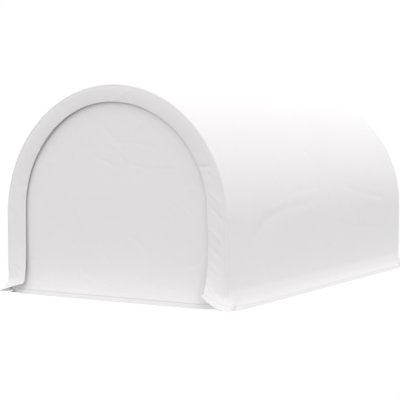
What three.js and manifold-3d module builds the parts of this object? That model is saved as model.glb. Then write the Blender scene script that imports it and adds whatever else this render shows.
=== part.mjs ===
// Enclosed round-top fabric carport shelter.
//
// Four arched steel ribs stand on foot plates and are tied together by purlins and side rails.
// A white cover is drawn over them from ground to ground. Its two ends turn inwards as a flat
// band around each arch, and a closed end panel hangs behind each band. Every bottom edge of the
// cloth spreads outwards into a low skirt that ends in a rolled hem on the ground.
//
// Millimetres, +Z up. X runs across the shelter, Y along it, and the front is at -Y. The origin
// is on the ground under the middle of the shelter.

import * as THREE from 'three';
import Module from 'manifold-3d';
import { mergeVertices } from 'three/addons/utils/BufferGeometryUtils.js';

const wasm = await Module();
wasm.setup();

// ---- driving dimensions -------------------------------------------------------------------

const coverWidth = 3050; // across the cover's straight sides, above the skirt
const coverLength = 5100; // from the front crease to the rear crease
const springHeight = 955; // where the straight sides turn into the half-round roof

const clothThickness = 5; // tarpaulin with its folds and air, as one solid sheet
const hemThickness = 12; // rolled bottom hem
const hemHeight = 40; // along the two long sides
const skirtSpread = 85; // how far the cover's bottom edge stands out past its side
const skirtHeight = 330; // where the side starts to spread

const bandLegWidth = 258; // the band beside the end panel
const bandTopWidth = 195; // the band over the end panel
const bandSetback = 34; // how far the band's free edge lies behind the crease
const bandSkirtHeight = 400; // where the band and the crease start to spread forward
const bandSpread = 115; // how far their bottom edge stands out in front of the crease
const bandCornerHeight = 147; // the free edge's lower corner over the ground

const panelSetback = 80; // end panel's outer face behind the crease
const panelHemHeight = 52;
const panelSpread = 70; // how far the end panel's bottom edge stands out past its face
const panelSkirtHeight = 400; // where the end panel starts to spread

const tubeRadius = 19; // ribs
const tubeFacets = 12; // flats around each straight tube
const purlinRadius = 16; // purlins and side rails
const ribCount = 4;
const bowTail = 60; // straight end of each bent bow, below the spring line
const sleeveLength = 120;
const sleeveWall = 2.5;
const shoulderAngle = THREE.MathUtils.degToRad(45); // shoulder purlins, up from the spring line
const railHeight = 150; // side rails' centre over the ground

const footWidth = 84; // foot plate, across the shelter
const footDepth = 96; // foot plate, along the shelter
const footThickness = 5;
const pegHoleRadius = 6;
const pegHoleInset = 16; // hole's centre from the plate's short edges

const jointGap = 0.5; // between pieces that touch
const slideGap = 0.5; // between a sleeve and the tubes in it
const restGap = 1; // between the frame and the cloth over it
const rimGap = 2; // between an end panel's rim and the cover around it

// ---- sizes that follow --------------------------------------------------------------------

const halfWidth = coverWidth / 2;
const roofHeight = springHeight + halfWidth;
const sleeveBore = (tubeRadius + slideGap) / Math.cos(Math.PI / tubeFacets); // over the flats
const sleeveRadius = sleeveBore + sleeveWall;
const ribRadius = halfWidth - clothThickness - restGap - sleeveRadius;
const legHeight = springHeight - bowTail - jointGap;
const panelInset = clothThickness + rimGap;
const bandInnerRadius = halfWidth - bandLegWidth;
const bandInnerCentre = roofHeight - bandTopWidth - bandInnerRadius;
const endRibSetback = panelSetback + clothThickness + restGap + sleeveRadius;
const ribSpan = coverLength - 2 * endRibSetback;
const ribPitch = ribSpan / (ribCount - 1);

// ---- materials ----------------------------------------------------------------------------

const cloth = { color: 0xf1f1ef, roughness: 0.62, metalness: 0 };
const tubeFinish = { color: 0xc9cccd, roughness: 0.38, metalness: 0.9 };
const plateFinish = { color: 0xb5b9bb, roughness: 0.45, metalness: 0.9 };

// ---- helpers ------------------------------------------------------------------------------

const shelter = new THREE.Group();

function addMesh(parent, name, geometry, finish) {
  const mesh = new THREE.Mesh(geometry, new THREE.MeshStandardMaterial(finish));
  mesh.name = name;
  parent.add(mesh);
  return mesh;
}

// A flat slab of cells, bent into a sheet: place(i, j, side) gives the point of column i and
// row j on the slab's outer (side 1) or inner (side 0) face.
function bentSheet(columns, rows, place) {
  const geometry = new THREE.BoxGeometry(columns, rows, 1, columns, rows, 1);
  const position = geometry.attributes.position;
  for (let n = 0; n < position.count; n += 1) {
    const column = Math.round(position.getX(n) + columns / 2);
    const row = Math.round(position.getY(n) + rows / 2);
    const side = position.getZ(n) > 0 ? 1 : 0;
    const point = place(column, row, side);
    position.setXYZ(n, point.x, point.y, point.z);
  }
  geometry.computeVertexNormals();
  return geometry;
}

function toSolid(geometry) {
  const bare = geometry.clone();
  bare.deleteAttribute('normal');
  bare.deleteAttribute('uv');
  const merged = mergeVertices(bare, 1e-3);
  const vertProperties = new Float32Array(merged.attributes.position.array);
  const triVerts = new Uint32Array(merged.index.array);
  return new wasm.Manifold(new wasm.Mesh({ numProp: 3, vertProperties, triVerts }));
}

function toGeometry(solid) {
  const mesh = solid.getMesh();
  const geometry = new THREE.BufferGeometry();
  geometry.setAttribute('position', new THREE.BufferAttribute(mesh.vertProperties, 3));
  geometry.setIndex(new THREE.BufferAttribute(mesh.triVerts, 1));
  geometry.computeVertexNormals();
  return geometry;
}

// How far a hanging cloth has spread at a height: nothing at the skirt's top, all of it from
// the hem down, and ever faster in between.
function spreadAt(height, hem, top, spread) {
  const down = THREE.MathUtils.clamp((top - height) / (top - hem), 0, 1);
  return spread * down ** 2.4;
}

function evenLevels(low, high, steps) {
  return Array.from({ length: steps + 1 }, (_, n) => low + ((high - low) * n) / steps);
}

// ---- stations around the arch -------------------------------------------------------------

// The cover and its bands share one set of stations, from the left edge on the ground, over the
// roof, to the right edge on the ground. A leg station has a side and a height, and a roof
// station an angle.
const skirtSteps = 7;
const roofSteps = 44;
const legLevels = [0, ...evenLevels(hemHeight, skirtHeight, skirtSteps), bandSkirtHeight];
const leftStations = legLevels.map((height) => ({ side: -1, height }));
const rightStations = legLevels.map((height) => ({ side: 1, height })).reverse();
const roofStations = evenLevels(Math.PI, 0, roofSteps).map((angle) => ({ angle }));
const stations = [...leftStations, ...roofStations, ...rightStations];

// Point of the cover's profile at a station, a given distance inside its outer face.
function profilePoint(station, inset) {
  if (station.angle === undefined) {
    const spread = spreadAt(station.height, hemHeight, skirtHeight, skirtSpread);
    return new THREE.Vector2(station.side * (halfWidth + spread - inset), station.height);
  }
  const radius = halfWidth - inset;
  return new THREE.Vector2(
    radius * Math.cos(station.angle),
    springHeight + radius * Math.sin(station.angle),
  );
}

// Point of the band's free edge at a station, looking along the shelter.
function freeEdgePoint(station) {
  if (station.angle === undefined) {
    return new THREE.Vector2(station.side * bandInnerRadius, station.height);
  }
  return new THREE.Vector2(
    bandInnerRadius * Math.cos(station.angle),
    bandInnerCentre + bandInnerRadius * Math.sin(station.angle),
  );
}

// How far the crease and the band stand out in front at a height.
function frontSpreadAt(height) {
  return spreadAt(height, hemHeight, bandSkirtHeight, bandSpread);
}

// ---- cover --------------------------------------------------------------------------------

// One sheet from ground to ground, with a rolled hem along each long side. Its two ends spread
// outwards towards the ground as its sides do.
function coverGeometry() {
  return bentSheet(stations.length - 1, 1, (column, row, side) => {
    const station = stations[column];
    const onLeg = station.angle === undefined;
    const thickness = onLeg && station.height < hemHeight ? hemThickness : clothThickness;
    const point = profilePoint(station, side === 1 ? 0 : thickness);
    const reach = coverLength / 2 + (onLeg ? frontSpreadAt(station.height) : 0);
    return new THREE.Vector3(point.x, row === 0 ? -reach : reach, point.y);
  });
}

addMesh(shelter, 'cover', coverGeometry(), cloth);

// ---- ends: band and closed panel ----------------------------------------------------------

// Both ends are made alike, seen from outside: the crease lies at y = 0, and y grows inwards.
// The band is a strip from the crease to its free edge, and spreads forward with the crease.
// Its bottom edge climbs from the ground at the crease to a free corner that stands clear.
function bandGeometry() {
  const rows = 4;
  const sheetInset = clothThickness + jointGap;
  const hemInset = hemThickness + jointGap;
  return bentSheet(stations.length - 1, rows, (column, row, side) => {
    const station = stations[column];
    const inward = 1 - row / rows;
    const onLeg = station.angle === undefined;
    const inset = onLeg && station.height <= hemHeight ? hemInset : sheetInset;
    const point = profilePoint(station, inset).lerp(freeEdgePoint(station), inward);
    let depth = bandSetback * inward;
    if (onLeg) {
      point.y += bandCornerHeight * inward * (1 - station.height / bandSkirtHeight);
      depth -= frontSpreadAt(station.height);
    }
    return new THREE.Vector3(point.x, depth + (side === 1 ? 0 : clothThickness), point.y);
  });
}

// The panel closes the whole arch. Columns stand side by side across it, and rows climb from
// the hem over the spread foot to the rim. It widens towards the ground with the cover.
function panelGeometry() {
  const columns = 28;
  const footLevels = [0, ...evenLevels(panelHemHeight, panelSkirtHeight, 7)];
  return bentSheet(columns, footLevels.length, (column, row, side) => {
    const angle = Math.PI * (1 - column / columns);
    const atFoot = row < footLevels.length;
    const rimRadius = halfWidth - panelInset;
    const height = atFoot ? footLevels[row] : springHeight + rimRadius * Math.sin(angle);
    const inHem = row === 0;
    const hemInset = inHem ? hemThickness - clothThickness : 0;
    const widening = spreadAt(height, hemHeight, skirtHeight, skirtSpread) - hemInset;
    const x = (rimRadius + widening) * Math.cos(angle);
    const forward = spreadAt(height, panelHemHeight, panelSkirtHeight, panelSpread);
    const thickness = inHem ? hemThickness : clothThickness;
    return new THREE.Vector3(x, panelSetback - forward + (side === 1 ? 0 : thickness), height);
  });
}

function addEnd(prefix, turn) {
  const end = new THREE.Group();
  end.rotation.z = turn;
  end.position.y = (turn === 0 ? -1 : 1) * (coverLength / 2);
  addMesh(end, `${prefix}_band`, bandGeometry(), cloth);
  addMesh(end, `${prefix}_panel`, panelGeometry(), cloth);
  shelter.add(end);
}

addEnd('front', 0);
addEnd('rear', Math.PI);

// ---- ribs: legs, sleeves and bows ---------------------------------------------------------

// A leg is a straight tube welded to a foot plate with two peg holes.
function legGeometry() {
  const plate = new THREE.Shape();
  plate.moveTo(-footWidth / 2, -footDepth / 2);
  plate.lineTo(footWidth / 2, -footDepth / 2);
  plate.lineTo(footWidth / 2, footDepth / 2);
  plate.lineTo(-footWidth / 2, footDepth / 2);
  plate.closePath();
  for (const end of [-1, 1]) {
    const hole = new THREE.Path();
    hole.absarc(0, end * (footDepth / 2 - pegHoleInset), pegHoleRadius, 0, 2 * Math.PI, true);
    plate.holes.push(hole);
  }
  const foot = new THREE.ExtrudeGeometry(plate, {
    depth: footThickness,
    bevelEnabled: false,
    curveSegments: 6,
  });
  const weldDepth = footThickness / 2;
  const tubeLength = legHeight - weldDepth;
  const tube = new THREE.CylinderGeometry(tubeRadius, tubeRadius, tubeLength, tubeFacets);
  tube.rotateX(Math.PI / 2);
  tube.translate(0, 0, weldDepth + tubeLength / 2);
  return toGeometry(toSolid(foot).add(toSolid(tube)));
}

// A short outer tube over the joint between a leg and its bow.
function sleeveGeometry() {
  const profile = [
    new THREE.Vector2(sleeveBore, -sleeveLength / 2),
    new THREE.Vector2(sleeveRadius, -sleeveLength / 2),
    new THREE.Vector2(sleeveRadius, sleeveLength / 2),
    new THREE.Vector2(sleeveBore, sleeveLength / 2),
    new THREE.Vector2(sleeveBore, -sleeveLength / 2),
  ];
  return new THREE.LatheGeometry(profile, tubeFacets);
}

// Centre line of a bow: a short straight end, a half circle and a straight end. The first and
// the last step cover the straight ends, and the steps between them divide the half circle.
const bowSteps = 34;

class BowLine extends THREE.Curve {
  getUtoTmapping(share) {
    return share;
  }

  getPoint(share) {
    const step = share * bowSteps;
    const leftTail = Math.max(0, 1 - step);
    const rightTail = Math.max(0, step - (bowSteps - 1));
    const turned = THREE.MathUtils.clamp((step - 1) / (bowSteps - 2), 0, 1);
    const angle = Math.PI * (1 - turned);
    return new THREE.Vector3(
      ribRadius * Math.cos(angle),
      0,
      springHeight + ribRadius * Math.sin(angle) - bowTail * (leftTail + rightTail),
    );
  }
}

function bowGeometry() {
  const section = new THREE.Shape();
  section.absarc(0, 0, tubeRadius, 0, 2 * Math.PI, false);
  return new THREE.ExtrudeGeometry(section, {
    steps: bowSteps,
    curveSegments: tubeFacets / 2,
    extrudePath: new BowLine(),
  });
}

const leg = legGeometry();
const sleeve = sleeveGeometry();
const bow = bowGeometry();

for (let rib = 0; rib < ribCount; rib += 1) {
  const y = -ribSpan / 2 + rib * ribPitch;
  for (const [label, sign] of [['left', -1], ['right', 1]]) {
    const legMesh = addMesh(shelter, `leg_${label}_${rib + 1}`, leg, plateFinish);
    legMesh.position.set(sign * ribRadius, y, 0);
    const sleeveMesh = addMesh(shelter, `sleeve_${label}_${rib + 1}`, sleeve, tubeFinish);
    sleeveMesh.position.set(sign * ribRadius, y, springHeight - bowTail);
    sleeveMesh.rotation.x = Math.PI / 2;
  }
  const bowMesh = addMesh(shelter, `bow_${rib + 1}`, bow, tubeFinish);
  bowMesh.position.y = y;
}

// ---- purlins and side rails ---------------------------------------------------------------

// Straight tubes between neighbouring ribs, in line with them.
const tieLines = [
  { name: 'ridge_purlin', x: 0, z: springHeight + ribRadius },
  {
    name: 'shoulder_purlin_left',
    x: -ribRadius * Math.cos(shoulderAngle),
    z: springHeight + ribRadius * Math.sin(shoulderAngle),
  },
  {
    name: 'shoulder_purlin_right',
    x: ribRadius * Math.cos(shoulderAngle),
    z: springHeight + ribRadius * Math.sin(shoulderAngle),
  },
  { name: 'side_rail_left', x: -ribRadius, z: railHeight },
  { name: 'side_rail_right', x: ribRadius, z: railHeight },
];
const tieLength = ribPitch - 2 * (tubeRadius + jointGap);
const tie = new THREE.CylinderGeometry(purlinRadius, purlinRadius, tieLength, tubeFacets);

for (const line of tieLines) {
  for (let bay = 0; bay < ribCount - 1; bay += 1) {
    const tieMesh = addMesh(shelter, `${line.name}_${bay + 1}`, tie, tubeFinish);
    tieMesh.position.set(line.x, -ribSpan / 2 + (bay + 0.5) * ribPitch, line.z);
  }
}

export default shelter;
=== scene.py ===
# Enclosed round-top carport shelter: a white tarpaulin cover over four arched steel ribs.
#
# Metres, +Z up. X runs across the shelter, Y along it, and the front is at -Y. The steel keeps
# its modelled shape and gets its finish here. The cloth is made here, sheet by sheet.

import math

import bpy
import numpy as np
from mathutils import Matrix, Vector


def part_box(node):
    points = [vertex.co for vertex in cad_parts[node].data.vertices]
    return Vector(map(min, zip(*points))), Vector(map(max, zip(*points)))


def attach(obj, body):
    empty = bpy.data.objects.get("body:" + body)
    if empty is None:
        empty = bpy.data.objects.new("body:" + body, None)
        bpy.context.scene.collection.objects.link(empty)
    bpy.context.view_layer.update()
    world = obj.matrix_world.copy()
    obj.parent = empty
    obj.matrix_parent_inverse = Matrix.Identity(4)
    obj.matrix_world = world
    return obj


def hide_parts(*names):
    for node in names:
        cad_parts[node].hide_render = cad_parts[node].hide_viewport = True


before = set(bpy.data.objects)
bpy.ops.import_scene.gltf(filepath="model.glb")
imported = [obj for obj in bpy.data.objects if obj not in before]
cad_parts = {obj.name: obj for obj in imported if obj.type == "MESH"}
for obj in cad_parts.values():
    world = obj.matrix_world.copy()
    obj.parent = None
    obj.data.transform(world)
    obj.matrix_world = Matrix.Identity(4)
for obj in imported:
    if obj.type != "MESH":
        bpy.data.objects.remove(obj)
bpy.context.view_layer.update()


# ---- studio: camera, light and floor ------------------------------------------------------
# A long lens at eye height looks past the front right corner. A soft dome lights the shelter
# evenly from above, and a pale floor runs on into a pale backdrop without a visible edge.

camera_data = bpy.data.cameras.new("camera")
camera_data.sensor_width = 36
camera_data.lens = 101.93
camera = bpy.data.objects.new("camera", camera_data)
camera.location = (7.483, -13.105, 1.851)
camera_dip = math.radians(3.043)
camera_turn = math.radians(30.809)
camera.rotation_euler = (math.pi / 2 - camera_dip, 0, camera_turn)
bpy.context.collection.objects.link(camera)
bpy.context.scene.camera = camera
bpy.context.scene.view_settings.view_transform = "Standard"

dome_light = 1.27  # from the whole upper half of the dome
floor_light = 0.50  # that the floor throws back up at the walls
boards_light = 0.78
backdrop_white = 1.02


class Link:
    """An output socket of a node. Arithmetic on it adds Math nodes to its tree."""

    def __init__(self, tree, socket):
        self.tree = tree
        self.socket = socket

    def of(self, operation, *terms):
        return node(self.tree, "ShaderNodeMath", {"operation": operation}, dict(enumerate(terms)))

    def maths(self, operation, *others):
        return self.of(operation, self, *others)

    def __add__(self, other):
        return self.maths("ADD", other)

    def __radd__(self, other):
        return self.of("ADD", other, self)

    def __sub__(self, other):
        return self.maths("SUBTRACT", other)

    def __rsub__(self, other):
        return self.of("SUBTRACT", other, self)

    def __mul__(self, other):
        return self.maths("MULTIPLY", other)

    def __rmul__(self, other):
        return self.of("MULTIPLY", other, self)

    def __truediv__(self, other):
        return self.maths("DIVIDE", other)

    def __rtruediv__(self, other):
        return self.of("DIVIDE", other, self)


def node(tree, kind, settings=None, sockets=None, output=0):
    """Adds a node: its settings first, then the values or links of its sockets."""
    made = tree.nodes.new(kind)
    for name, value in (settings or {}).items():
        setattr(made, name, value)
    for name, value in (sockets or {}).items():
        if isinstance(value, Link):
            tree.links.new(value.socket, made.inputs[name])
        else:
            made.inputs[name].default_value = value
    return Link(tree, made.outputs[output])


def glow(tree, kind, light, into):
    """A plain source: even backdrop white where it is looked at, and its light for all else."""
    tree.nodes.clear()
    seen = node(tree, kind, sockets={"Color": (1, 1, 1, 1), "Strength": backdrop_white})
    thrown = node(tree, kind, sockets={"Color": (1, 1, 1, 1), "Strength": light})
    looked_at = node(tree, "ShaderNodeLightPath", output="Is Camera Ray")
    source = node(tree, "ShaderNodeMixShader", sockets={0: looked_at, 1: thrown, 2: seen})
    tree.links.new(source.socket, tree.nodes.new(into).inputs["Surface"])


world = bpy.data.worlds.new("dome")
bpy.context.scene.world = world
world.use_nodes = True
glow(world.node_tree, "ShaderNodeBackground", dome_light, "ShaderNodeOutputWorld")

# White boards lie round the shelter's foot on the wide floor and light its skirt from below.
# Under the shelter the ground is plain matt white, so it goes dark where the cloth covers it.
inner_reach = (1.52, 2.44)
boards_reach = (1.90, 2.98)
floor_reach = (40, 40)
square = ((-1, -1), (1, -1), (1, 1), (-1, 1))
around = [(0, 1, 5, 4), (1, 2, 6, 5), (2, 3, 7, 6), (3, 0, 4, 7)]  # a square ring's four sides
ground_level = -0.001
for name, outer, inner, light in (
    ("floor", floor_reach, boards_reach, floor_light),
    ("boards", boards_reach, inner_reach, boards_light),
    ("ground", inner_reach, (0, 0), None),
):
    reaches = (outer, inner)
    corners = [(x * reach[0], y * reach[1], ground_level) for reach in reaches for x, y in square]
    mesh = bpy.data.meshes.new(name)
    if light is None:
        mesh.from_pydata(corners[:4], [], [(0, 1, 2, 3)])
    else:
        mesh.from_pydata(corners, [], around)
    laid = bpy.data.objects.new(name, mesh)
    bpy.context.collection.objects.link(laid)
    white = bpy.data.materials.new(f"{name}_white")
    white.use_nodes = True
    if light is None:
        white.node_tree.nodes["Principled BSDF"].inputs["Roughness"].default_value = 1.0
    else:
        glow(white.node_tree, "ShaderNodeEmission", light, "ShaderNodeOutputMaterial")
    mesh.materials.append(white)


# ---- steel: ribs, sleeves, purlins, rails and feet ----------------------------------------
# Round tube, roll-formed and hot-dip galvanised, so its grey has a faint spangle and dull
# patches. The ribs stand on welded foot plates, whose zinc is rougher.


def new_finish(name):
    """A material with its Principled shader, as (material, tree, shader)."""
    finish = bpy.data.materials.new(name)
    finish.use_nodes = True
    tree = finish.node_tree
    return finish, tree, tree.nodes["Principled BSDF"]


def feed(tree, shader, socket, value):
    """Links a value that varies over the surface to one of the shader's sockets."""
    tree.links.new(value.socket, shader.inputs[socket])


def galvanised(name, pale, dull, roughness):
    """Zinc: crystals of its spangle over broad pale and dull patches."""
    finish, tree, shader = new_finish(name)
    place = node(tree, "ShaderNodeTexCoord", output="Object")
    spangle = node(
        tree,
        "ShaderNodeTexVoronoi",
        {"feature": "F1"},
        {"Vector": place, "Scale": 140.0, "Randomness": 1.0},
        output="Color",
    )
    flake = node(tree, "ShaderNodeSeparateColor", sockets={"Color": spangle})
    patches = node(
        tree, "ShaderNodeTexNoise", sockets={"Vector": place, "Scale": 9.0, "Detail": 6.0}
    )
    marked = patches * 0.7 + flake * 0.3
    tone = node(
        tree,
        "ShaderNodeMix",
        {"data_type": "RGBA"},
        {0: marked, 6: (*dull, 1), 7: (*pale, 1)},
        output=2,
    )
    feed(tree, shader, "Base Color", tone)
    shader.inputs["Metallic"].default_value = 0.9
    swing = 0.12  # its roughness varies this much either way
    feed(tree, shader, "Roughness", roughness - swing + marked * (2 * swing))
    grain = node(tree, "ShaderNodeBump", sockets={"Strength": 0.25, "Distance": 0.0004, "Height": marked})
    feed(tree, shader, "Normal", grain)
    return finish


tube_finish = galvanised("galvanised_tube", (0.66, 0.67, 0.68), (0.45, 0.46, 0.47), 0.38)
foot_finish = galvanised("galvanised_foot", (0.58, 0.59, 0.60), (0.36, 0.37, 0.38), 0.5)
for name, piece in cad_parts.items():
    for slot in piece.material_slots:
        slot.material = foot_finish if name.startswith("leg_") else tube_finish


# ---- sleeve screws ------------------------------------------------------------------------
# Two zinc-plated hex-head screws, driven in from the inside of the shelter, hold each sleeve
# to the leg below it and the bow above it.

screw_head = 0.0050  # radius over the corners
screw_height = 0.0036
screw_sunk = 0.0015
screw_chamfer = 0.0006
screw_crown = 0.86  # of the radius, inside the chamfer
screw_offset = 0.035  # above and below the sleeve's middle
screw_rings = (
    (-screw_sunk, 1.0),
    (screw_height - screw_chamfer, 1.0),
    (screw_height, screw_crown),
)
sides = 6

corners = []
faces = []
for side in ("left", "right"):
    for rib in range(1, 5):
        low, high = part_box(f"sleeve_{side}_{rib}")
        toward = 1 if side == "left" else -1
        face_x = high.x if side == "left" else low.x
        for offset in (-screw_offset, screw_offset):
            centre_y = (low.y + high.y) / 2
            centre_z = (low.z + high.z) / 2 + offset
            first = len(corners)
            for depth, radius in screw_rings:
                for n in range(sides):
                    turn = 2 * math.pi * n / sides * toward
                    y = centre_y + math.cos(turn) * screw_head * radius
                    z = centre_z + math.sin(turn) * screw_head * radius
                    corners.append((face_x + toward * depth, y, z))
            for ring in (first, first + sides):
                for n in range(sides):
                    near = ring + n
                    far = ring + (n + 1) % sides
                    faces.append((near, far, far + sides, near + sides))
            faces.append(tuple(first + 2 * sides + n for n in range(sides)))
            faces.append(tuple(first + sides - 1 - n for n in range(sides)))
screw_mesh = bpy.data.meshes.new("sleeve_screws")
screw_mesh.from_pydata(corners, [], faces)
screws = bpy.data.objects.new("sleeve_screws", screw_mesh)
bpy.context.collection.objects.link(screws)
screw_mesh.materials.append(galvanised("zinc_screw", (0.74, 0.74, 0.72), (0.55, 0.55, 0.54), 0.32))
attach(screws, "root")


# ---- cover: roof and sides ----------------------------------------------------------------
# One sheet of white coated tarpaulin, drawn over the ribs from ground to ground. Its long
# edges flare into a skirt that ends in a stitched hem, and its ends turn in round the arches.

cover_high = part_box("cover")[1]
skirt_reach = 0.085
lip_reach = 0.115
cloth_ease = 0.010  # the cloth stands this far off the straight line over the ribs
half_width = cover_high.x - skirt_reach + cloth_ease  # without the skirt
half_length = cover_high.y - lip_reach  # crease to crease, without the flaps' lips
spring_height = cover_high.z - cover_high.x + skirt_reach
cloth_thickness = 0.0016

hem_height = 0.042
hem_tilt = 0.008  # the hem's lower edge stands out past its upper edge
flap_hem_tilt = 0.031
past_seam = 0.018  # from a seam to the next level above it
skirt_spread = 0.062
# The skirt bends out three times: broadly, where it leaves the side rail, and near the ground.
# Each bend has its share of the spread, the height where it starts, and how late it comes.
skirt_flares = ((0.12, 0.42, 3), (0.60, 0.215, 1.3), (0.28, 0.125, 2.2))

front_spread = 0.17  # how far the ends' cloth would stand forward on the ground
front_height = 0.70
front_power = 3.2
crease_spread = 0.20
crease_height = 0.16  # the crease stands upright further down, then runs out into a lip
crease_power = 1.8
crease_radius = 0.026  # where the cover turns in round the arch
corner_radius = 0.14  # the same turn, at the ground
corner_height = 0.45

band_leg_width = 0.265
band_top_width = 0.191
band_leg_setback = 0.034
band_top_setback = 0.016
free_radius = half_width - band_leg_width
free_centre = cover_high.z - band_top_width - free_radius

# The free corner of each flap under its last stitch. No two hang quite alike: how high the
# corner is, how steeply its edge falls from it and how far, and how much more than the plain
# spread it swings forward.
flap_height = 0.40
flap_corners = {
    ("front", -1): (0.126, 0.300, 0.280, -0.4),
    ("front", 1): (0.168, 0.545, 0.215, 0.9),
    ("rear", -1): (0.150, 0.430, 0.240, 0.5),
    ("rear", 1): (0.134, 0.360, 0.260, 0.3),
}
flap_tail = 0.17  # past the crease the edge sinks back to the ground over this length
flap_reach = 0.80
flap_fade = 0.30


def ramp(value):
    """0 below 0, 1 above 1, and a soft start and end in between."""
    held = np.clip(value, 0, 1)
    return held * held * (3 - 2 * held)


def flare(height, low, high, power):
    """1 at the low height and below, 0 at the high one, and ever steeper on the way down."""
    return np.clip((high - height) / (high - low), 0, 1) ** power


def hem_slant(height, tilt):
    """How far the hem stands out past its seam."""
    return tilt * np.clip(1 - height / hem_height, 0, 1)


def side_offset(height):
    """How far the side stands out past its straight part."""
    spread = sum(share * flare(height, hem_height, top, power) for share, top, power in skirt_flares)
    return skirt_spread * spread + hem_slant(height, hem_tilt)


def hem_levels(seam_height):
    """Levels from the cut edge up to its stitched seam, set closest where the thread pulls.

    The second one is close to the rim, so that the rim's shading doesn't bleed into the hem.
    """
    rim = 0.001
    seam_reach = 0.006
    over_seam = seam_height + np.linspace(-seam_reach, seam_reach, 5)
    return np.concatenate([[0], np.linspace(rim, seam_height - 2 * seam_reach, 3), over_seam])


def stations(fine, coarse):
    """Places around the arch, left hem to right hem: length along the cloth, side, height, angle."""
    hem = hem_levels(hem_height)
    skirt = np.arange(hem_height + past_seam, front_height, fine)
    wall = np.linspace(skirt[-1], spring_height, round((spring_height - skirt[-1]) / coarse))[1:]
    leg = np.concatenate([hem, skirt, wall])
    arc = math.pi * half_width
    turn = np.linspace(0, math.pi, round(arc / coarse))[1:-1]
    along = np.concatenate([leg, spring_height + turn * half_width, 2 * spring_height + arc - leg[::-1]])
    side = np.concatenate([-np.ones(len(leg)), np.zeros(len(turn)), np.ones(len(leg))])
    height = np.concatenate([leg, np.full(len(turn), spring_height), leg[::-1]])
    angle = np.concatenate([np.full(len(leg), math.pi), math.pi - turn, np.zeros(len(leg))])
    return along, side, height, angle


def raised(end, side, height, walk):
    """How far the cloth hangs off the ground, after a walk along it from the free edge."""
    on_left = side < 0
    corners = zip(flap_corners[end, -1], flap_corners[end, 1])
    high, fall, reach, _ = [np.where(on_left, left, right) for left, right in corners]
    edge = high - fall * walk
    sinking = (high - fall * reach) * np.exp((reach - walk) / flap_tail)
    sinking = sinking * np.clip((flap_reach - walk) / flap_fade, 0, 1)
    down = np.where(side != 0, np.clip(1 - height / flap_height, 0, 1), 0)
    return np.where(walk < reach, edge, sinking) * down


def unit(vectors):
    """The same directions, each one long."""
    return vectors / np.linalg.norm(vectors, axis=-1, keepdims=True)


def end_lines(end, side, height, angle):
    """One end's free edge, start of turn, crease and end of turn, and the turn's radius.

    y is 0 at the crease's plane and grows inwards. The flap's lift is not in it yet.
    """
    x = np.cos(angle) * half_width + side * side_offset(height)
    z = height + np.sin(angle) * half_width
    free_x = np.cos(angle) * free_radius
    free_z = np.where(side == 0, free_centre + np.sin(angle) * free_radius, height)
    width = np.hypot(x - free_x, z - free_z)
    free_level = height + raised(end, side, height, 0 * width)
    crease_level = height + raised(end, side, height, width)
    swing = 1 + np.where(side < 0, flap_corners[end, -1][3], flap_corners[end, 1][3])
    setback = band_leg_setback + (band_top_setback - band_leg_setback) * np.sin(angle)
    free_y = setback - front_spread * flare(free_level, 0, front_height, front_power) * swing
    crease_y = -crease_spread * flare(crease_level, 0, crease_height, crease_power)
    free = np.stack([free_x, free_y - hem_slant(height, flap_hem_tilt), free_z], axis=-1)
    crease = np.stack([x, crease_y - hem_slant(height, flap_hem_tilt), z], axis=-1)
    low = np.clip(1 - height / corner_height, 0, 1) ** 3
    radius = crease_radius + (corner_radius - crease_radius) * low
    start = crease + unit(free - crease) * radius[:, None]
    finish = crease + np.array([0, 1, 0]) * radius[:, None]
    return free, start, crease, finish, radius


def turned(start, crease, finish, share):
    """One row of the round turn from the band (share 0) to the cover (share 1)."""
    near = (1 - share) ** 2
    middle = math.sqrt(2) * share * (1 - share)
    far = share**2
    return (start * near + crease * middle + finish * far) / (near + middle + far)


def upwards(lift):
    """A lift at each point, as vectors."""
    return np.array([0, 0, 1]) * lift[..., None]


def mirrored(points):
    """The rear end: the same points, turned half round the upright axis."""
    return points * np.array([-1, -1, 1])


def outward(points):
    """The direction out of the cloth at each point of a grid whose columns run left to right."""
    return unit(np.cross(np.gradient(points, axis=1), np.gradient(points, axis=0)))


def fold(along, across, start, end, width, depth):
    """A soft pressed fold from start to end on the flat cloth, fading out at both ends."""
    start = np.array(start)
    end = np.array(end)
    length = np.linalg.norm(end - start)
    direction = (end - start) / length
    reach_along = (along - start[0]) * direction[0] + (across - start[1]) * direction[1]
    reach_aside = (across - start[1]) * direction[0] - (along - start[0]) * direction[1]
    half_run = 0.62  # of its length, so it runs a little past both ends
    fade = np.clip(1 - ((reach_along / length - 0.5) / half_run) ** 2, 0, 1)
    return depth * fade * np.exp(-((reach_aside / width) ** 2))


def pressed(away, along, across, folds):
    """The cloth's offset with each of a list of folds (start, end, width, depth) added."""
    for start, end, width, depth in folds:
        away = away + fold(along, across, start, end, width, depth)
    return away


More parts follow.
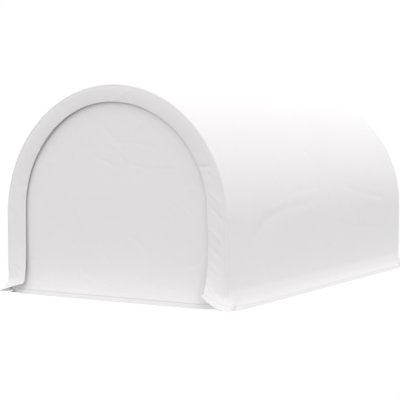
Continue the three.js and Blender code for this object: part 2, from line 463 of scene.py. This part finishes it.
def slack(along, across, seed, count, span, size, depth):
    """How the cloth leaves its smooth shape: broad slack, dents, and many small bent folds."""
    rng = np.random.default_rng(seed)
    out = np.zeros(along.shape)
    broad = (14, 2.0, 6.5, 0.0036)  # waves, lowest and highest radians per metre, slope of each
    dents = (50, 18.0, 60.0, 0.0020)
    for waves, lowest, highest, slope in (broad, dents):
        for _ in range(waves):
            wave = rng.uniform(lowest, highest)
            heading = rng.uniform(0, math.pi)
            phase = rng.uniform(0, 2 * math.pi)
            place = along * math.cos(heading) + across * math.sin(heading)
            out += slope / wave * np.sin(wave * place + phase)
    for _ in range(count):
        start = np.array([rng.uniform(0, span[0]), rng.uniform(0, span[1])])
        heading = rng.uniform(0, 2 * math.pi)
        width = size * rng.uniform(0.8, 1.6)
        height = rng.choice([-1, 1]) * rng.uniform(0.1, 1.0) ** 2 * depth
        for _ in range(rng.integers(1, 4)):
            length = rng.uniform(0.06, 0.22)
            end = start + length * np.array([math.sin(heading), math.cos(heading)])
            out += fold(along, across, start, end, width, height)
            start = end
            heading += rng.uniform(-0.8, 0.8)
    return out


def nearest_seam(*seams):
    """Of seams as (length along, distance off, how tightly sewn), the nearest at every point."""
    along, off, sewn = seams[0]
    sewn = sewn + 0 * off
    for next_along, next_off, next_sewn in seams[1:]:
        closer = np.abs(next_off) < np.abs(off)
        along = np.where(closer, next_along, along)
        off = np.where(closer, next_off, off)
        sewn = np.where(closer, next_sewn, sewn)
    return np.stack([along, off], axis=-1), sewn


def seam_pull(off):
    """The dimple along a seam."""
    pull = 0.0016
    reach = 0.004
    return -pull * np.exp(-((off / reach) ** 2))


def cloth_sheet(name, points, cut, seam):
    """A sheet of cloth from a grid of points, with each point's place on the flat cloth (cut)."""
    rows, columns, _ = points.shape
    index = np.arange(rows * columns).reshape(rows, columns)
    corners = [index[:-1, :-1], index[:-1, 1:], index[1:, 1:], index[1:, :-1]]
    faces = np.stack(corners, axis=-1).reshape(-1, 4)
    mesh = bpy.data.meshes.new(name)
    mesh.from_pydata(points.reshape(-1, 3).tolist(), [], faces.tolist())
    for layer_name, values in (("cut", cut), ("seam", seam[0])):
        layer = mesh.uv_layers.new(name=layer_name)
        layer.data.foreach_set("uv", values.reshape(-1, 2)[faces.ravel()].ravel())
    sewn = mesh.attributes.new("sewn", "FLOAT", "POINT")
    sewn.data.foreach_set("value", seam[1].ravel())
    mesh.polygons.foreach_set("use_smooth", np.ones(len(faces), bool))
    piece = bpy.data.objects.new(name, mesh)
    bpy.context.collection.objects.link(piece)
    ply = piece.modifiers.new("thickness", "SOLIDIFY")
    ply.thickness = cloth_thickness
    ply.offset = -1
    return piece


def tarpaulin(name):
    """White coated cloth: a woven core that shows faintly through a satin coating."""
    cloth_weave = 0.0028  # one tape of the woven core
    stitch_pitch = 0.007
    stitch_offset = 0.003  # from the seam's middle
    thread_reach = 0.0010
    seam_darkening_reach = 0.009  # the darker strip on either side of a seam
    finish, tree, shader = new_finish(name)
    flat = node(tree, "ShaderNodeUVMap", {"uv_map": "cut"})
    warp = node(tree, "ShaderNodeSeparateXYZ", sockets={"Vector": flat}, output=0)
    weft = node(tree, "ShaderNodeSeparateXYZ", sockets={"Vector": flat}, output=1)
    pitch = 2 * math.pi / cloth_weave
    weave = (warp * pitch).maths("SINE") * (weft * pitch).maths("SINE")

    seam = node(tree, "ShaderNodeUVMap", {"uv_map": "seam"})
    run = node(tree, "ShaderNodeSeparateXYZ", sockets={"Vector": seam}, output=0)
    off = node(tree, "ShaderNodeSeparateXYZ", sockets={"Vector": seam}, output=1)
    # Two rows of lock stitches, one on either side of the seam's middle.
    beside = (off.maths("ABSOLUTE") - stitch_offset).maths("ABSOLUTE")
    row = (1 - beside / thread_reach).maths("MAXIMUM", 0.0)
    dash = ((run * (2 * math.pi / stitch_pitch)).maths("SINE") * 2 + 1.2).maths("MAXIMUM", 0.0)
    sewn = node(tree, "ShaderNodeAttribute", {"attribute_name": "sewn"}, output="Fac")
    stitch = row * dash.maths("MINIMUM", 1.0) * sewn
    # The colour is darkened in a strip on either side of each seam, most at its middle and more where it
    # is sewn tightly.
    strip = (1 - off.maths("ABSOLUTE") / seam_darkening_reach).maths("MAXIMUM", 0.0)
    seam_darkening = strip * (sewn * 0.6 + 0.05)

    solid = node(tree, "ShaderNodeTexCoord", output="Object")
    clouds = node(tree, "ShaderNodeTexNoise", sockets={"Vector": solid, "Scale": 1.3, "Detail": 5.0})
    specks = node(tree, "ShaderNodeTexNoise", sockets={"Vector": solid, "Scale": 210.0, "Detail": 2.0})
    tone = clouds * 0.5 + specks * 0.2 + weave * 0.06
    coating = node(
        tree,
        "ShaderNodeMix",
        {"data_type": "RGBA"},
        {0: tone, 6: (0.792, 0.778, 0.783, 1), 7: (0.824, 0.810, 0.815, 1)},
        output=2,
    )
    # The base colour: the coating, darkened along the seams and at the stitches.
    marked = node(
        tree,
        "ShaderNodeMix",
        {"data_type": "RGBA"},
        {0: seam_darkening + stitch * 0.3, 6: coating, 7: (0.600, 0.586, 0.590, 1)},
        output=2,
    )
    feed(tree, shader, "Base Color", marked)
    feed(tree, shader, "Roughness", 0.52 + clouds * 0.12 + weave * 0.03 + stitch * 0.2)
    shader.inputs["Specular IOR Level"].default_value = 0.35
    fibre = node(
        tree,
        "ShaderNodeBump",
        sockets={"Strength": 0.2, "Distance": 0.0002, "Height": weave + stitch * 3},
    )
    crumple = node(
        tree,
        "ShaderNodeTexNoise",
        {"noise_type": "RIDGED_MULTIFRACTAL"},
        {"Vector": solid, "Scale": 5.0, "Detail": 3.0, "Roughness": 0.4, "Distortion": 0.6},
    )
    surface = node(
        tree,
        "ShaderNodeBump",
        sockets={"Strength": 0.12, "Distance": 0.003, "Height": crumple, "Normal": fibre},
    )
    feed(tree, shader, "Normal", surface)
    return finish


cloth_finish = tarpaulin("white_tarpaulin")
to_front = np.array([0, -half_length, 0])

cover_places = stations(fine=0.020, coarse=0.030)
cover_along, cover_side, cover_heights, _ = cover_places
cover_total = cover_along[-1]
turn_shares = [0, 0.02, 0.125, 0.25, 0.375, 0.5, 0.625, 0.75, 0.875]
bay_rows = 150
edge_dip = 0.0013
weld_insets = (0.06, 0.22)  # welded seams, behind the turn

# A peg just behind each corner draws the skirt in.
peg_place = 0.10
peg_reach = 0.07
peg_pull = 0.4  # of the skirt's spread
peg_clear = 0.06  # the turn itself keeps its shape

end_rows = {}
end_finish = {}
end_walk = {}
for end in ("front", "rear"):
    free, start, crease, finish, radius = end_lines(end, *cover_places[1:])
    walk = np.linalg.norm(start - free, axis=-1)
    rows = []
    for share in turn_shares:
        lift = raised(end, cover_side, cover_heights, walk + share * radius * math.pi / 2)
        rows.append(turned(start, crease, finish, share) + upwards(lift) + to_front)
    end_rows[end] = rows
    end_finish[end] = finish + to_front
    end_walk[end] = walk + radius * math.pi / 2

# The rear end is made turned round, so its stations run the other way.
front_finish = end_finish["front"]
rear_finish = mirrored(end_finish["rear"])[::-1]
middle_rows = []
from_turn = [np.zeros(len(cover_along))] * len(turn_shares)
for share in np.linspace(0, 1, bay_rows + 1):
    row = front_finish + (rear_finish - front_finish) * share
    from_front = row[:, 1] - front_finish[:, 1]
    from_rear = rear_finish[:, 1] - row[:, 1]
    from_end = np.minimum(from_front, from_rear)
    drawn = peg_pull * np.exp(-(((from_end - peg_place) / peg_reach) ** 2)) * ramp(from_end / peg_clear)
    row[:, 0] -= cover_side * side_offset(cover_heights) * drawn
    front_lift = raised("front", cover_side, cover_heights, end_walk["front"] + from_front)
    rear_lift = raised("rear", cover_side, cover_heights, end_walk["rear"] + from_rear[::-1])[::-1]
    middle_rows.append(row + upwards(front_lift + rear_lift))
    from_turn.append(from_end)
from_turn = np.stack(from_turn + from_turn[: len(turn_shares)])
rear_rows = [mirrored(row)[::-1] for row in end_rows["rear"]]
cover_points = np.stack(end_rows["front"] + middle_rows + rear_rows[::-1])
steps = np.linalg.norm(np.diff(cover_points, axis=0), axis=-1).mean(axis=1)
cut_s, cut_t = np.meshgrid(cover_along, np.concatenate([[0], np.cumsum(steps)]))
place_y = cover_points[..., 1] + half_length

hem_sewing = 0.3  # its thread lies loose, so it hardly marks the cloth
cover_folds = [
    # start and end as (along the arch, behind the front crease), width, depth
    ((5.52, 1.50), (5.46, 2.36), 0.028, -0.0050),
    ((5.50, 3.20), (5.60, 3.80), 0.030, -0.0048),
    ((5.60, 3.80), (5.70, 4.50), 0.034, -0.0050),
    ((5.95, 2.90), (6.00, 3.25), 0.030, -0.0035),
    ((6.00, 3.25), (6.10, 4.30), 0.032, -0.0035),
    ((6.00, 0.60), (5.80, 0.86), 0.045, -0.0070),
    ((5.80, 0.86), (5.69, 1.36), 0.045, -0.0075),
    ((5.69, 1.36), (5.66, 2.14), 0.040, -0.0060),
    ((4.95, 1.60), (5.08, 1.78), 0.026, -0.0040),
    ((4.88, 2.20), (5.12, 2.46), 0.026, -0.0040),
    ((5.02, 0.22), (5.20, 0.52), 0.026, -0.0040),
    ((6.30, 2.38), (6.20, 2.80), 0.028, -0.0040),
    ((4.90, 3.12), (5.06, 3.42), 0.026, -0.0035),
    ((4.80, 4.22), (5.36, 4.40), 0.028, -0.0035),
]
cover_span = (cover_total, 5.1)
away = slack(cut_s, place_y, seed=11, count=420, span=cover_span, size=0.026, depth=0.0034)
away = pressed(away, cut_s, place_y, cover_folds)
# Close to the ground and to the turned ends it is drawn smooth.
away = away * ramp((cover_heights - 0.03) / 0.15) * ramp(from_turn / 0.08)
to_hem = np.minimum(cut_s, cover_total - cut_s) - hem_height
away = away + seam_pull(to_hem)
away[[0, 1, -2, -1]] -= edge_dip  # the edge lies down on the band
cover_points = cover_points + outward(cover_points) * away[..., None]
cover_seams = [(cut_t, to_hem, hem_sewing)]
for inset in weld_insets:
    cover_seams.append((cut_s, from_turn - inset, 0))

cover = cloth_sheet(
    "cover_sheet", cover_points, np.stack([cut_s, cut_t], axis=-1), nearest_seam(*cover_seams)
)
cover.data.materials.append(cloth_finish)
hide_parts("cover")
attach(cover, "root")


# ---- bands: the cover's turned ends -------------------------------------------------------
# A strip of the same cloth is sewn inside each end of the cover and lies round the arch in
# front of the end panel. Below, it hangs loose as a flap that flares forward off the ground.

band_rows = 18
band_belly = 0.005
roll_radius = 0.004  # the free edge is rolled back and sewn
roll_turn = math.radians(200)
roll_rows = 7
lap_shares = (0.12, 0.24, 0.36)  # of the cover's turn, how far the band reaches under it
lap_gap = 0.0012  # under the cover's cloth
lap_sink = 0.003  # and deeper further in
lap_weld = 0.030

band_folds = {
    # start and end as (along the arch, in from the free edge), width, depth
    "front": [
        ((5.10, 0.00), (5.14, 0.15), 0.020, -0.0060),
        ((5.44, 0.02), (5.58, 0.20), 0.022, 0.0045),
        ((5.64, 0.04), (5.78, 0.22), 0.022, -0.0045),
        ((5.84, 0.02), (6.00, 0.20), 0.022, 0.0050),
        ((6.04, 0.03), (6.18, 0.20), 0.024, -0.0045),
        ((6.22, 0.02), (6.34, 0.16), 0.024, 0.0040),
        ((0.90, 0.10), (1.00, 0.22), 0.020, -0.0050),
    ],
    "rear": [
        ((1.50, 0.02), (1.44, 0.16), 0.020, -0.0055),
        ((5.70, 0.04), (5.84, 0.22), 0.022, 0.0045),
    ],
}

for end in ("front", "rear"):
    along, side, height, angle = stations(fine=0.012, coarse=0.020)
    free, start, crease, finish, radius = end_lines(end, side, height, angle)
    length = np.linalg.norm(start - free, axis=-1)
    inward = unit(free - start)
    free_lift = upwards(raised(end, side, height, 0 * length))
    rows = []
    walks = []
    for turn in np.linspace(roll_turn, 0, roll_rows)[:-1]:
        out = inward * math.sin(turn) * roll_radius
        back = np.array([0, 1, 0]) * (1 - math.cos(turn)) * roll_radius
        rows.append(free + out + back + free_lift)
        walks.append(0 * length - turn * roll_radius)
    for share in np.linspace(0, 1, band_rows + 1):
        walk = share * length
        belly = np.array([0, -4 * band_belly * share * (1 - share), 0])
        rows.append(free + (start - free) * share + belly + upwards(raised(end, side, height, walk)))
        walks.append(walk)
    for share in lap_shares:
        walk = length + share * radius * math.pi / 2
        rows.append(turned(start, crease, finish, share) + upwards(raised(end, side, height, walk)))
        walks.append(walk)
    points = np.stack(rows) + to_front
    if end == "rear":
        points = mirrored(points)
    walk = np.stack(walks)
    cut_s = np.broadcast_to(along, walk.shape)
    cut_t = walk + roll_turn * roll_radius
    band_seed = 5 if end == "front" else 6
    band_span = (cover_total, 0.3)
    away = slack(cut_s, cut_t, seed=band_seed, count=120, span=band_span, size=0.018, depth=0.0036)
    away = pressed(away, cut_s, walk, band_folds[end])
    away = away * ramp((length - 0.010 - walk) / 0.06)
    # Its outer edge slips under the cover's, where the two are sewn together.
    away = away - (cloth_thickness + lap_gap) * ramp((walk - length + 0.030) / 0.040)
    away = away - lap_sink * ramp((walk - length) / 0.025)
    to_hem = np.minimum(cut_s, cover_total - cut_s) - hem_height
    away = away + seam_pull(to_hem)
    points = points + outward(points) * away[..., None]
    seams = nearest_seam((walk, to_hem, hem_sewing), (cut_s, walk - lap_weld, 0))
    band = cloth_sheet(f"{end}_band_sheet", points, np.stack([cut_s, cut_t], axis=-1), seams)
    band.data.materials.append(cloth_finish)
    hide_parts(f"{end}_band")
    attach(band, "root")


# ---- end panels ---------------------------------------------------------------------------
# A closed wall of the same cloth fills each arch behind the band. It is sewn to the cover
# all round, and its foot flares forward into a stitched hem that lies on the ground.

panel_setback = 0.072
panel_lean = 0.018  # the arch holds its top further forward than its foot
panel_spread = 0.056
panel_power = 3.4  # how late its foot bends forward
panel_hem = 0.052
panel_hem_tilt = 0.006
panel_foot = 0.50
panel_radius = half_width - 0.004
panel_skirt = 0.35  # it follows this much of the cover's own flare
panel_columns = 261
panel_rows = 118
panel_step = 0.0125  # between its rows near the ground
panel_turn_in = {"front": (1.28, 1.10), "rear": (1.20, 1.22)}  # where the foot bends back
turn_in_slope = 0.45
turn_in_ease = 0.05

panel_folds = {
    # start and end as (across, height), width, depth
    "front": [
        ((-0.27, 1.66), (0.05, 1.54), 0.015, -0.0034),
        ((0.08, 1.70), (0.19, 1.58), 0.015, -0.0028),
        ((0.19, 1.58), (0.46, 1.53), 0.015, -0.0032),
        ((0.46, 1.53), (0.90, 1.53), 0.016, -0.0028),
        ((-0.55, 1.02), (-0.40, 0.78), 0.018, 0.0024),
        ((0.22, 0.76), (0.50, 0.58), 0.018, -0.0024),
        ((0.73, 1.25), (1.07, 0.97), 0.019, 0.0024),
        ((-0.63, 2.32), (-0.20, 2.02), 0.019, -0.0021),
        ((-0.20, 2.02), (0.15, 1.79), 0.019, -0.0021),
    ],
    "rear": [((-0.70, 1.42), (0.10, 1.60), 0.016, -0.0032), ((0.20, 0.90), (0.60, 0.70), 0.018, 0.0024)],
}

for end in ("front", "rear"):
    turn = np.linspace(-math.pi / 2, math.pi / 2, panel_columns)
    share_x = np.sin(turn)
    foot_levels = np.arange(panel_hem + past_seam, panel_foot - panel_step / 2, panel_step)
    levels = np.concatenate([hem_levels(panel_hem), foot_levels])
    upper = np.linspace(0, 1, panel_rows)
    top = spring_height + np.sqrt(np.clip(1 - share_x**2, 0, 1)) * panel_radius
    low_part = np.repeat(levels[:, None], len(turn), axis=1)
    z = np.concatenate([low_part, panel_foot + (top - panel_foot) * upper[:, None]])
    x = share_x * (panel_radius + panel_skirt * side_offset(z))
    left_bend, right_bend = panel_turn_in[end]
    bend = np.maximum(np.maximum(-x - left_bend, x - right_bend), 0)
    sweep = turn_in_slope * bend**2 / (bend + turn_in_ease) * flare(z, 0, panel_foot, 1.5)
    hem_out = panel_hem_tilt * np.clip(1 - z / panel_hem, 0, 1)
    forward = panel_spread * flare(z, panel_hem, panel_foot, panel_power) + hem_out
    y = panel_setback - panel_lean * z / cover_high.z - forward + sweep
    points = np.stack([x, y, z], axis=-1) + to_front
    if end == "rear":
        points = mirrored(points)
    seed = 21 if end == "front" else 22
    away = slack(x + half_width, z, seed=seed, count=170, span=(3.05, 2.5), size=0.018, depth=0.0026)
    away = pressed(away, x, z, panel_folds[end])
    away = away * ramp((z - 0.03) / 0.15) * ramp((top - z) / 0.1) + seam_pull(z - panel_hem)
    points = points + outward(points) * away[..., None]
    seams = nearest_seam((x, z - panel_hem, 1))
    panel = cloth_sheet(f"{end}_panel_sheet", points, np.stack([x + half_width, z], axis=-1), seams)
    panel.data.materials.append(cloth_finish)
    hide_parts(f"{end}_panel")
    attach(panel, "root")
